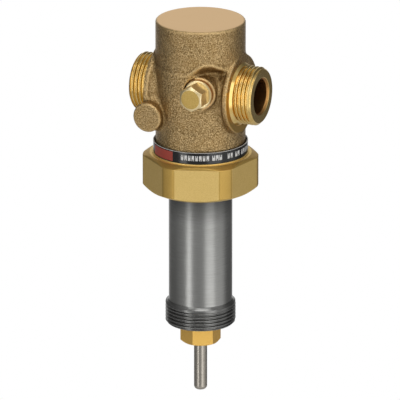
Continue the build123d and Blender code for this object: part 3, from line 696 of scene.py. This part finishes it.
def turned_steel(name, colour, shade, roughness, grain_mm=8.0, dim=None):
    """Steel with fine lines round the Z axis."""
    lines = (1.0, 1.0, 20.0)
    return machined(name, colour, shade, roughness, grain_mm, 0.02, lines, dim=dim)


def plain(name, colour, roughness):
    """Plastic, rubber or fibre with a faint grain."""
    return machined(name, colour, colour, roughness, grain_mm=0.4, depth_mm=0.02, metallic=0.0)


MATERIALS = {
    "cast_bronze": cast_bronze(),
    "nut_brass": machined("nut_brass_satin", linear(240, 210, 138), linear(226, 194, 118), roughness=0.50,
                          grain_mm=0.45, depth_mm=0.12),
    # darker copy of the nut's brass for its turned corners and top cone; the darker tone is painted shade
    "nut_corner": machined("nut_brass_turned_painted_shade", linear(196, 164, 92), linear(182, 148, 78), roughness=0.48,
                           grain_mm=0.35, depth_mm=0.06),
    "port_brass": machined("port_brass_turned", linear(232, 202, 134), linear(220, 186, 112), roughness=0.18,
                           grain_mm=4.0, depth_mm=0.0),
    "turned_brass": machined("turned_brass_bright", linear(246, 226, 180), linear(238, 216, 164),
                             roughness=0.34, depth_mm=0.01),
    "gland_brass": machined("gland_brass_bright", linear(246, 204, 116), linear(238, 192, 100),
                            roughness=0.52, depth_mm=0.01),
    "faced_brass": machined("faced_brass_dull", linear(200, 172, 104), linear(186, 156, 88),
                            roughness=0.55, depth_mm=0.02),
    "bronze_liner": machined("bronze_liner_turned", linear(176, 132, 78), linear(150, 108, 60),
                             roughness=0.35),
    # painted shadow of the union nut: the tube's tone falls to 0.4 at its top, just under the nut
    "neck_steel": turned_steel("neck_steel_turned", linear(158, 158, 156), linear(146, 146, 143),
                               roughness=0.30, dim=((-62.0, 0.4), (-76.0, 1.0))),
    "collar_steel": turned_steel("collar_steel_dark", linear(132, 132, 130), linear(112, 112, 110),
                                 roughness=0.26),
    "stainless": turned_steel("stainless_ground", linear(176, 170, 160), linear(162, 156, 146),
                              roughness=0.26, grain_mm=6.0),
    "spring_steel": machined("spring_steel_drawn", linear(120, 120, 124), linear(96, 96, 100),
                             roughness=0.35),
    "black_label": plain("label_black", linear(16, 16, 17), roughness=0.18),
    "label_red": plain("label_red", linear(150, 62, 50), roughness=0.25),
    "label_white": plain("label_white", linear(200, 200, 198), roughness=0.4),
    "packing": plain("packing_white", linear(226, 224, 216), roughness=0.5),
    "graphite": plain("graphite_grey", linear(48, 48, 50), roughness=0.45),
    "fibre": plain("fibre_red", linear(120, 60, 38), roughness=0.6),
    "seal_rubber": plain("rubber_black", linear(22, 22, 22), roughness=0.55),
}


# Pieces.
def mark_casting(piece, points):
    """Attributes of the casting's points: how its skin bends, which the bronze uses to paint highlight on
    edges and shade in hollows, and where it is milled or golden.

    The top and the spot face are milled. The discs' faces are golden below a set height and keep the darker
    cast colour above it, as painted shade. A point belongs to a face when it is less than `near` mm from it
    and its slope along the face's axis is over `facing`.
    """
    near = 0.3
    facing = 0.8
    # painted shade: above this height the discs' turned faces keep the darker cast colour
    painted_shade_above_z = 6.0
    x, y, z = points.T
    slope = distance_slope(casting_outside, points, reach=0.1)
    on_top = (z > BODY_TOP_Z - near) & (slope[:, 2] > facing)
    on_spot = (np.hypot(x - TEST_X, z - TEST_Z) < SPOT_FACE_R) & (y < TEST_FACE_Y + near)
    on_disc = (np.abs(x) > COLLAR_DISC_FACE_X - near) & (np.abs(slope[:, 0]) > facing)
    on_disc = on_disc & (np.hypot(y, z) < COLLAR_DISC_R) & (z < painted_shade_above_z)
    bend = np.clip(bend_of(casting_outside, points, reach=0.9), -1, 1)
    for name, values in (("bend", bend), ("milled", on_top | on_spot), ("golden", on_disc)):
        layer = piece.data.attributes.new(name, "FLOAT", "POINT")
        layer.data.foreach_set("value", values.astype(np.float32))


def thin_hollow(piece, points):
    """Fewer faces inside the casting: decimates where the points lie deeper than hidden_depth mm."""
    hidden_depth = 0.8
    group = piece.vertex_groups.new(name="hidden")
    group.add(np.flatnonzero(casting_outside(*points.T) < -hidden_depth).tolist(), 1.0, "REPLACE")
    thin = piece.modifiers.new("thin_hollow", "DECIMATE")
    thin.ratio = 0.72
    thin.vertex_group = "hidden"
    thinned = piece.evaluated_get(bpy.context.evaluated_depsgraph_get())
    mesh = bpy.data.meshes.new_from_object(thinned)
    piece.modifiers.clear()
    piece.data = mesh
    piece.vertex_groups.clear()
    mesh.name = "cast_body"


def cast_body():
    """Casting: surface net of its distance on a grid of CASTING_STEP, settled on it, its hollow thinned."""
    low = np.array(CASTING_LOW)
    counts = np.ceil((np.array(CASTING_HIGH) - low) / CASTING_STEP).astype(int)
    axes = [low[k] + CASTING_STEP * np.arange(counts[k]) for k in range(3)]
    x, y, z = np.meshgrid(*axes, indexing="ij", sparse=True)
    points, quads = surface_net(casting_distance(x, y, z), low, CASTING_STEP)
    points = settle(casting_distance, points, rounds=3)
    piece = make_piece("cast_body", points, quads, [MATERIALS["cast_bronze"]])
    mark_casting(piece, points)
    thin_hollow(piece, points)
    return piece


def sleeve_bore():
    """Half outline of a port's bore, from its root to its face, as softened corners (radius, x).

    The last corner keeps only the first of its four points, because the thread's chamfer goes on from there.
    """
    corners = [
        (SLEEVE_ROOT_R, SLEEVE_ROOT_X),
        (PORT_BORE_R, SLEEVE_ROOT_X),
        (PORT_BORE_R - PORT_BORE_TAPER, PORT_FACE_X - PORT_MOUTH_LENGTH),
        (PORT_BORE_R + PORT_MOUTH_WIDENING, PORT_FACE_X),
        (PORT_THREAD_R - PORT_CHAMFER, PORT_FACE_X),
    ]
    return soften(corners, 0.2)[:-3]


def port_sleeve(name, side):
    """End of one port, turned about X: bore, face, and r = thread crests blended with chamfer and flare."""
    columns = 192
    thread_x = np.arange(COLLAR_DISC_FACE_X - SLEEVE_OVERLAP, PORT_FACE_X, PORT_PITCH / ROWS_PER_PITCH)
    crest = thread_radius(thread_x, columns, PORT_THREAD_R, PORT_THREAD_DEPTH, PORT_PITCH)
    chamfer = (PORT_THREAD_R - PORT_CHAMFER) + (PORT_FACE_X - thread_x)
    crest = smooth_min(crest, chamfer[:, None], reach=0.25)
    flare_end = COLLAR_DISC_FACE_X + FLARE_LENGTH
    flare = PORT_THREAD_R + FLARE_FOOT + FLARE_SLOPE * (flare_end - thread_x)
    crest = smooth_max(crest, np.where(thread_x < flare_end, flare, 0.0)[:, None], reach=0.2)
    inside = sleeve_bore()
    outside = np.array(SLEEVE_BACK)
    radius, height = stack_rows(inside.T, (crest[::-1], thread_x[::-1]), outside.T)
    grid = turned_points(radius, height, columns)
    placed = np.stack([side * grid[:, 2], side * grid[:, 0], grid[:, 1]], axis=-1)
    brass = [MATERIALS["port_brass"], MATERIALS["bronze_liner"]]
    piece = make_piece(name, placed, grid_faces(len(radius), columns), brass, hard_deg=50)
    x, y, z = face_centres(piece).T
    in_bore = np.hypot(y, z) < PORT_BORE_R + 0.4
    pick_material(piece, in_bore | (np.abs(x) < COLLAR_DISC_FACE_X - 1))
    return piece


def union_nut():
    """Hexagon nut: r is the softened least of facets, corner cylinder and end cones; then its inner steps.

    The lip runs from its bore to its foot on the facets, without the foot's first two softened points.
    """
    columns = 540
    painted_shade_top_depth = 2.6
    z = np.linspace(NUT_FACETS_TOP_Z, NUT_BOTTOM_Z, 96)
    facets = np.broadcast_to(hexagon_radius(columns, NUT_HALF_FLAT, NUT_FACET_DEG), (len(z), columns))
    top_cone = NUT_TOP_R + NUT_CONE * (NUT_FACETS_TOP_Z - z)[:, None]
    bottom_cone = NUT_BOTTOM_R + NUT_CONE * (z - NUT_BOTTOM_Z)[:, None]
    outer = smooth_min(facets, NUT_CORNER_R, reach=0.5)
    outer = smooth_min(smooth_min(outer, top_cone, reach=0.35), bottom_cone, reach=0.35)
    lip = soften([(NUT_LIP_R, NUT_FACETS_TOP_Z), (NUT_LIP_R, NUT_TOP_Z), (NUT_MOUTH_R, NUT_TOP_Z),
                  (NUT_BORE_R, NUT_TOP_Z - NUT_BORE_CHAMFER)], 0.3)[:1:-1]
    inner = np.array([(NUT_TUBE_HOLE_R + NUT_FOOT_CHAMFER, NUT_BOTTOM_Z),
                      (NUT_TUBE_HOLE_R, NUT_BOTTOM_Z + NUT_FOOT_CHAMFER),
                      (NUT_TUBE_HOLE_R, FLANGE_BOTTOM_Z), (NUT_FLANGE_ROOM_R, FLANGE_BOTTOM_Z),
                      (NUT_FLANGE_ROOM_R, NUT_FLANGE_ROOM_TOP_Z), (NUT_BORE_R, NUT_FLANGE_ROOM_TOP_Z)])
    radius, height = stack_rows(lip.T, (outer, z), inner.T)
    grid = turned_points(radius, height, columns)
    brass = [MATERIALS["nut_brass"], MATERIALS["nut_corner"]]
    piece = make_piece("union_nut_brass", grid, grid_faces(len(radius), columns), brass, hard_deg=40)
    x, y, z = face_centres(piece).T
    out = np.hypot(x, y)
    # painted shade: the corner strips and the top cone take the darker copy of the nut's brass
    corner = (out > NUT_CORNER_R - 0.2) | (out > NUT_TOP_R) & (z > NUT_TOP_Z - painted_shade_top_depth)
    pick_material(piece, corner)
    return piece


def gland_nut():
    """Small hexagon under the neck: r is the softened less of facets and end cone; then its stepped bore."""
    columns = 300
    z = np.linspace(GLAND_TOP_Z, GLAND_BOTTOM_Z, 60)
    facets = np.broadcast_to(hexagon_radius(columns, GLAND_HALF_FLAT, GLAND_FACET_DEG), (len(z), columns))
    cone = GLAND_END_R + (z - GLAND_BOTTOM_Z)[:, None] * NUT_CONE
    outer = smooth_min(facets, cone, reach=0.3)
    inner = np.array([(GLAND_WIPER_R, GLAND_BOTTOM_Z), (GLAND_WIPER_R, GLAND_WIPER_TOP_Z),
                      (GLAND_BORE_R, GLAND_WIPER_TOP_Z), (GLAND_BORE_R, GLAND_NOSE_Z),
                      (GLAND_NOSE_R, GLAND_NOSE_Z), (GLAND_NOSE_R, GLAND_SHANK_TOP_Z),
                      (GLAND_SHANK_R, GLAND_SHANK_TOP_Z), (GLAND_SHANK_R, GLAND_TOP_Z)])
    radius, height = stack_rows((outer, z), inner.T)
    grid = turned_points(radius, height, columns)
    brass = [MATERIALS["gland_brass"]]
    return make_piece("gland_brass", grid, grid_faces(len(radius), columns), brass, hard_deg=40)


def collar_thread(columns):
    """Rows of the collar's thread: heights, and crests blended with the end's chamfer, plain at the start."""
    z = np.arange(COLLAR_TOP_Z - COLLAR_CONE_LENGTH - 0.2, COLLAR_BOTTOM_Z, -COLLAR_PITCH / ROWS_PER_PITCH)
    crest = thread_radius(z, columns, COLLAR_THREAD_R, COLLAR_THREAD_DEPTH, COLLAR_PITCH)
    chamfer = COLLAR_THREAD_R - COLLAR_CHAMFER + (z - COLLAR_BOTTOM_Z)[:, None]
    crest = smooth_min(crest, np.minimum(chamfer, COLLAR_THREAD_R), reach=0.2)
    plain_start = (z > COLLAR_TOP_Z - COLLAR_PLAIN_LENGTH)[:, None]
    return z, np.where(plain_start, np.maximum(crest, COLLAR_THREAD_R - COLLAR_PLAIN_DEPTH), crest)


def neck_tube():
    """Neck turned about Z: flange, tube, collar with its cone and thread, and the stepped bore."""
    columns = 216
    z, crest = collar_thread(columns)
    top = soften([(GUIDE_SEAT_R, FLANGE_TOP_Z), (FLANGE_R, FLANGE_TOP_Z), (FLANGE_R, FLANGE_BOTTOM_Z),
                  (TUBE_R, FLANGE_BOTTOM_Z), (TUBE_R, COLLAR_TOP_Z - 0.2),
                  (COLLAR_THREAD_R - 0.2, COLLAR_TOP_Z - COLLAR_CONE_LENGTH)], 0.5)
    inner = np.array([(GLAND_THREAD_R, COLLAR_BOTTOM_Z), (GLAND_THREAD_R, GLAND_THREAD_TOP_Z),
                      (PACKING_R, GLAND_THREAD_TOP_Z), (PACKING_R, PACKING_TOP_Z),
                      (STEM_HOLE_R, PACKING_TOP_Z), (STEM_HOLE_R, STEM_ROOM_FLOOR_Z),
                      (STEM_ROOM_R, STEM_ROOM_FLOOR_Z), (STEM_ROOM_R, SPRING_ROOM_FLOOR_Z),
                      (SPRING_ROOM_R, SPRING_ROOM_FLOOR_Z), (SPRING_ROOM_R, GUIDE_SEAT_Z),
                      (GUIDE_SEAT_R, GUIDE_SEAT_Z)])
    radius, height = stack_rows(top.T, (crest, z), inner.T)
    grid = turned_points(radius, height, columns)
    steel = [MATERIALS["neck_steel"], MATERIALS["collar_steel"]]
    piece = make_piece("neck_steel_tube", grid, grid_faces(len(radius), columns), steel, hard_deg=40)
    pick_material(piece, face_centres(piece)[:, 2] < COLLAR_TOP_Z - 0.4)
    return piece


def test_plug():
    """Plug turned about a line parallel to Y: shank, flange, hexagon cut by its end cone, and flat end."""
    columns = 360
    height = np.linspace(PLUG_HEXAGON_FOOT, PLUG_END - 0.05, 80)
    facets = np.broadcast_to(hexagon_radius(columns, PLUG_HALF_FLAT, 0.0), (len(height), columns))
    cone = PLUG_END_R + PLUG_CONE * (PLUG_END - height)[:, None]
    outer = smooth_min(facets, cone, reach=0.12)
    flange = np.array(PLUG_SHANK + PLUG_FLANGE)
    end = np.array([(radius, PLUG_END) for radius in (PLUG_END_R - 0.1, 3.5, 1.2, 0.0)])
    radius, along = stack_rows(flange.T, (outer, height), end.T)
    grid = turned_points(radius, along, columns)
    placed = np.stack([TEST_X + grid[:, 0], TEST_FACE_Y - grid[:, 2], TEST_Z + grid[:, 1]], axis=-1)
    faces = grid_faces(len(radius), columns)[:-columns]
    brass = [MATERIALS["turned_brass"], MATERIALS["faced_brass"]]
    piece = make_piece("test_plug_brass", placed, faces, brass, hard_deg=40)
    pick_material(piece, face_centres(piece)[:, 1] < TEST_FACE_Y - PLUG_END + 0.01)
    close_poles(piece)
    return piece


def coil_spring():
    """Wire: circles of WIRE_R across the helix (R cos t, R sin t, low + rise t), closed at both ends."""
    around = 12
    rings_per_turn = 40
    turn = np.linspace(0, SPRING_TURNS * FULL_TURN, rings_per_turn * SPRING_TURNS + 1)
    low = SPRING_PLATE_Z + WIRE_R
    rise = (SPRING_TOP_Z - WIRE_R - low) / turn[-1]
    outward = np.stack([np.cos(turn), np.sin(turn), np.zeros(len(turn))], axis=-1)
    along = np.stack([-SPRING_R * np.sin(turn), SPRING_R * np.cos(turn), np.full(len(turn), rise)], axis=-1)
    upward = np.cross(outward, along) / np.hypot(SPRING_R, rise)
    centre = SPRING_R * outward + np.stack([0 * turn, 0 * turn, low + rise * turn], axis=-1)
    side = angles(around)[None, :, None]
    rings = centre[:, None] + WIRE_R * (np.cos(side) * outward[:, None] + np.sin(side) * upward[:, None])
    ends = [np.broadcast_to(centre[k], (1, around, 3)) for k in (0, -1)]
    grid = np.concatenate([ends[0], rings, ends[1]]).reshape(-1, 3)
    faces = grid_faces(len(rings) + 2, around)[:-around]
    piece = make_piece("return_spring_wire", grid, faces, [MATERIALS["spring_steel"]], hard_deg=50)
    close_poles(piece)
    return piece


def label_marks(angle, height):
    """White marks on the band: groups of plain blocks, notched by turns above and below, as true or false."""
    marks = np.zeros(angle.shape, bool)
    upper = height > MARK_MIDDLE
    for first, blocks in MARK_GROUPS:
        for block in range(blocks):
            along = angle - first - MARK_PITCH_DEG * block
            middle = np.abs(along - MARK_WIDTH_DEG / 2) < MARK_NOTCH_DEG / 2
            notch = middle & (upper == (block % 2 == 0)) & (np.abs(height - MARK_MIDDLE) > MARK_BRIDGE)
            marks |= (along > 0) & (along < MARK_WIDTH_DEG) & ~notch
    return marks & (np.abs(height - MARK_MIDDLE) < MARK_HEIGHT / 2)


def between(values, limits):
    """True where values lie between the two limits."""
    return (values > limits[0]) & (values < limits[1])


def band_outline():
    """Closed section of the band and its foot, (radius, height), in equal steps up its outer side."""
    top = BAND_BOTTOM_Z + BAND_HEIGHT
    foot_top = BAND_BOTTOM_Z + BAND_FOOT
    outline = soften([(BAND_FOOT_R, BAND_BOTTOM_Z), (BAND_R, BAND_BOTTOM_Z), (BAND_R, top),
                      (BAND_INNER_R, top), (BAND_INNER_R, foot_top), (BAND_FOOT_R, foot_top)], 0.12, steps=3)
    edge = 0.15
    side_z = np.linspace(BAND_BOTTOM_Z + edge, top - edge, 26)
    side = np.stack([np.full(len(side_z), BAND_R), side_z], axis=-1)
    cut = np.argmax((outline[:, 0] > BAND_R - 0.05) & (outline[:, 1] > top - 0.5))
    return np.concatenate([outline[:cut], side, outline[cut:]])


def label_band():
    """Thin band turned about Z, standing off the body on a foot; its faces take black, red or white, the
    white on its top edge being a painted highlight.
    """
    columns = 720
    radius, height = band_outline().T
    grid = turned_points(radius[:, None], height[:, None], columns)
    colours = [MATERIALS["black_label"], MATERIALS["label_red"], MATERIALS["label_white"]]
    piece = make_piece("label_band_black", grid, grid_faces(len(radius), columns), colours, hard_deg=40)
    x, y, z = face_centres(piece).T
    angle = np.degrees(np.arctan2(y, x))
    rise = z - BAND_BOTTOM_Z
    out = np.hypot(x, y)
    outer = out > BAND_R - 0.1
    red = outer & between(angle, RED_FIELD_DEG) & between(rise, RED_FIELD_RISE)
    # painted highlight: the faces along the band's top edge are white
    white = (outer & label_marks(angle, rise)) | ((rise > BAND_HIGHLIGHT_RISE) & (out > BAND_INNER_R + 0.1))
    pick_material(piece, np.where(white, 2, np.where(red, 1, 0)))
    return piece


# Light, floor and camera.
def room_ramp(tree, direction):
    """Grey of the room by the turn of a direction from the camera's side, through the stops of ROOM."""
    azimuth = math.radians(VIEW_AZIMUTH)
    parts = []
    for axis in ((math.cos(azimuth), math.sin(azimuth), 0.0), (math.sin(azimuth), -math.cos(azimuth), 0.0)):
        made = node(tree, "VectorMath", {0: direction, 1: axis}, operation="DOT_PRODUCT")
        parts.append(made.outputs["Value"])
    turn = node(tree, "Math", {0: parts[0], 1: parts[1]}, operation="ARCTAN2").outputs[0]
    ramp = node(tree, "ValToRGB", {"Fac": ranged(tree, turn, -math.pi, math.pi)})
    ramp.color_ramp.interpolation = "EASE"
    stops = ramp.color_ramp.elements
    while len(stops) < len(ROOM):
        stops.new(0.5)
    for stop, (turn_deg, level) in zip(stops, ROOM):
        stop.position = turn_deg / 360 + 0.5
        stop.color = (level, level, level, 1.0)
    return ramp.outputs["Color"]


def surroundings():
    """White surroundings for the camera, and for all else a grey room that is white behind the object."""
    world = bpy.data.worlds.new("studio")
    world.use_nodes = True
    bpy.context.scene.world = world
    tree = world.node_tree
    path = node(tree, "LightPath")
    seen = node(tree, "Math", {0: path.outputs["Is Camera Ray"], 1: path.outputs["Is Transmission Ray"]},
                operation="MAXIMUM").outputs[0]
    direction = node(tree, "TexCoord").outputs["Generated"]
    height = node(tree, "SeparateXYZ", {"Vector": direction}).outputs["Z"]
    ceiling = (CEILING, CEILING, CEILING, 1.0)
    overhead = ranged(tree, height, CEILING_FROM, CEILING_FULL)
    room = mixed(tree, overhead, room_ramp(tree, direction), ceiling)
    tree.links.new(mixed(tree, seen, room, WHITE), tree.nodes["Background"].inputs["Color"])


def lamps():
    """Soft rectangular lamps round the object, each turned to LAMP_AIM."""
    for name, turn_deg, height, distance, size, power in LAMPS:
        data = bpy.data.lights.new(name, "AREA")
        data.shape = "RECTANGLE"
        data.size, data.size_y = size
        data.energy = power
        lamp = bpy.data.objects.new(name, data)
        bpy.context.scene.collection.objects.link(lamp)
        azimuth = math.radians(VIEW_AZIMUTH + turn_deg)
        place = Vector((distance * math.sin(azimuth), -distance * math.cos(azimuth), height))
        lamp.location = place
        lamp.rotation_euler = (LAMP_AIM - place).to_track_quat("-Z", "Y").to_euler()


def floor():
    """Round pale floor well below the hanging stem; the camera sees it almost white, with soft shadow."""
    corners = 96
    material, tree, shader = new_material("floor_pale")
    shader.inputs["Base Color"].default_value = FLOOR_GREY
    shader.inputs["Roughness"].default_value = 0.8
    camera_ray = node(tree, "LightPath").outputs["Is Camera Ray"]
    seen = node(tree, "Math", {0: camera_ray, 1: FLOOR_GLOW}, operation="MULTIPLY").outputs[0]
    glow = node(tree, "Emission", {"Color": WHITE, "Strength": 1.0})
    both = node(tree, "MixShader", {0: seen, 1: shader.outputs["BSDF"], 2: glow.outputs["Emission"]})
    tree.links.new(both.outputs["Shader"], tree.nodes["Material Output"].inputs["Surface"])
    turn = angles(corners)
    rim = np.stack([FLOOR_R * np.cos(turn), FLOOR_R * np.sin(turn), np.full(corners, FLOOR_Z)], axis=-1)
    mesh = bpy.data.meshes.new("floor")
    mesh.from_pydata((rim * MM).tolist(), [], [tuple(range(corners))])
    mesh.materials.append(material)
    plane = bpy.data.objects.new("floor", mesh)
    bpy.context.scene.collection.objects.link(plane)


def camera():
    """Long lens at the photograph's azimuth and elevation, aimed at the point that lies in its centre."""
    data = bpy.data.cameras.new("camera")
    data.lens = data.sensor_width * VIEW_DISTANCE / (IMAGE_PIXELS / PIXELS_PER_MM)
    data.clip_start = 0.1
    data.clip_end = 50.0
    eye = bpy.data.objects.new("camera", data)
    bpy.context.scene.collection.objects.link(eye)
    azimuth = math.radians(VIEW_AZIMUTH)
    elevation = math.radians(VIEW_ELEVATION)
    back = np.array([math.sin(azimuth) * math.cos(elevation), -math.cos(azimuth) * math.cos(elevation),
                     math.sin(elevation)])
    right = np.array([math.cos(azimuth), math.sin(azimuth), 0.0])
    aim = np.array([0.0, 0.0, VIEW_AIM_Z]) + right * VIEW_AIM_RIGHT
    eye.location = (aim + back * VIEW_DISTANCE) * MM
    eye.rotation_euler = (math.pi / 2 - elevation, 0.0, azimuth)
    bpy.context.scene.camera = eye


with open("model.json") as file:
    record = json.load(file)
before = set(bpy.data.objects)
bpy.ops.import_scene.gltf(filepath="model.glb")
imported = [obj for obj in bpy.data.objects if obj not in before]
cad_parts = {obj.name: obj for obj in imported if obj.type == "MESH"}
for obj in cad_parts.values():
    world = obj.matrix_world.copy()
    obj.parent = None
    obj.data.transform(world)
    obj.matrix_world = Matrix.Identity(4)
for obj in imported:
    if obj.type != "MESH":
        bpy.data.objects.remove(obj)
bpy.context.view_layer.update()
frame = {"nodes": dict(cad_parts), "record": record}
slots = {sub["node"]: sub["material_slot"] for sub in frame["record"]["subparts"]}
for name, solid in frame["nodes"].items():
    for slot in solid.material_slots:
        slot.material = MATERIALS[slots[name]]

dressed = (
    (cast_body(), "valve_body"),
    (port_sleeve("inlet_port_thread", 1), "valve_body"),
    (port_sleeve("outlet_port_thread", -1), "valve_body"),
    (union_nut(), "union_nut"),
    (gland_nut(), "gland_nut"),
    (neck_tube(), "neck_tube"),
    (test_plug(), "test_plug"),
    (label_band(), "label_band"),
)
for piece, solid in dressed:
    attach(piece, "valve")
    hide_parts(solid)

# In the valve the spring's foot rises with the stem and its top stays on the guide plate; here the spring is
# attached to the stem's assembly as a whole and gets a mesh of its own.
spring = coil_spring()
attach(spring, "stem_assembly")
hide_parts("return_spring")
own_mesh(spring)

surroundings()
lamps()
floor()
camera()
bpy.context.scene.view_settings.view_transform = "Standard"
